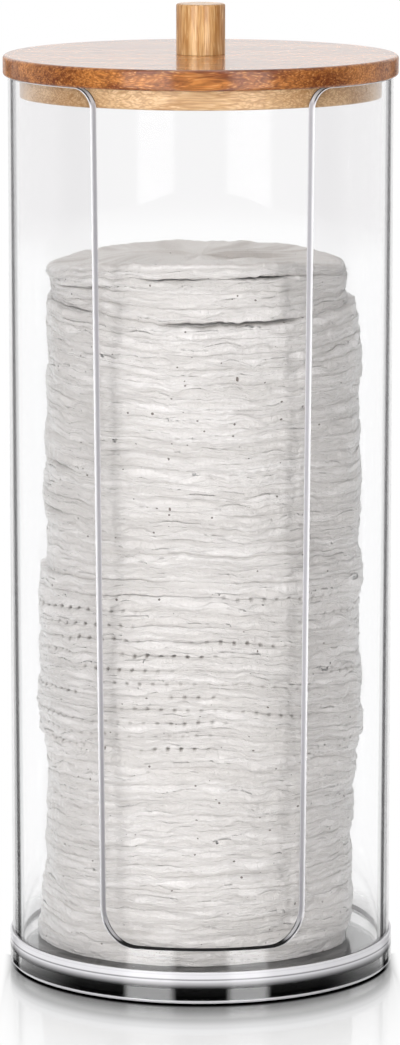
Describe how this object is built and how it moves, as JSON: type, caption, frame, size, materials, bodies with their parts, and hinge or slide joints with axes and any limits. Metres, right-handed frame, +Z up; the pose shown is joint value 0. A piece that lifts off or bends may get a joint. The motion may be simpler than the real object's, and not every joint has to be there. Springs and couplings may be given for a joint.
{
  "type": "cotton pad holder",
  "caption": "Clear round tube on a clear base with an open front slot, a lift-off bamboo lid with a small knob, and a stack of round cotton pads.",
  "frame": {"origin": "middle of the ring that the base stands on", "axes": "+Z up along the tube's axis, the front slot faces -Y, +X to the right seen from the front"},
  "size_m": [0.08, 0.08, 0.1975],
  "materials": {
    "clear_tube": "clear, polished, moulded",
    "clear_base": "clear, polished, moulded",
    "bamboo_lid": "bamboo under clear gloss varnish",
    "bamboo_plug": "bare pale bamboo, sanded",
    "bamboo_knob": "bamboo under clear satin varnish",
    "screw_steel": "zinc plated",
    "cotton": "unbleached needled cotton, soft cut edges"
  },
  "bodies": {
    "holder": {"base": "clear_base", "tube": "clear_tube"},
    "lid": {"lid_disc": "bamboo_lid", "lid_plug": "bamboo_plug", "knob": "bamboo_knob", "knob_screw": "screw_steel"},
    "pads": {"pad_01": "cotton", "pad_02": "cotton", "pad_03": "cotton", "pad_04": "cotton", "pad_05": "cotton", "pad_06": "cotton", "pad_07": "cotton", "pad_08": "cotton", "pad_09": "cotton", "pad_10": "cotton", "pad_11": "cotton", "pad_12": "cotton", "pad_13": "cotton", "pad_14": "cotton", "pad_15": "cotton", "pad_16": "cotton", "pad_17": "cotton", "pad_18": "cotton", "pad_19": "cotton", "pad_20": "cotton", "pad_21": "cotton", "pad_22": "cotton", "pad_23": "cotton", "pad_24": "cotton", "pad_25": "cotton", "pad_26": "cotton", "pad_27": "cotton", "pad_28": "cotton", "pad_29": "cotton", "pad_30": "cotton", "pad_31": "cotton", "pad_32": "cotton", "pad_33": "cotton", "pad_34": "cotton", "pad_35": "cotton", "pad_36": "cotton", "pad_37": "cotton", "pad_38": "cotton", "pad_39": "cotton", "pad_40": "cotton", "pad_41": "cotton", "pad_42": "cotton", "pad_43": "cotton", "pad_44": "cotton", "pad_45": "cotton", "pad_46": "cotton", "pad_47": "cotton", "pad_48": "cotton"}
  },
  "joints": [
    {"name": "lid_lift", "type": "slide", "parent": "holder", "child": "lid", "axis": [0, 0, 1], "range_m": [0, 0.05]},
    {"name": "pads_lift", "type": "slide", "parent": "holder", "child": "pads", "axis": [0, 0, 1], "range_m": [0, 0.025]}
  ]
}
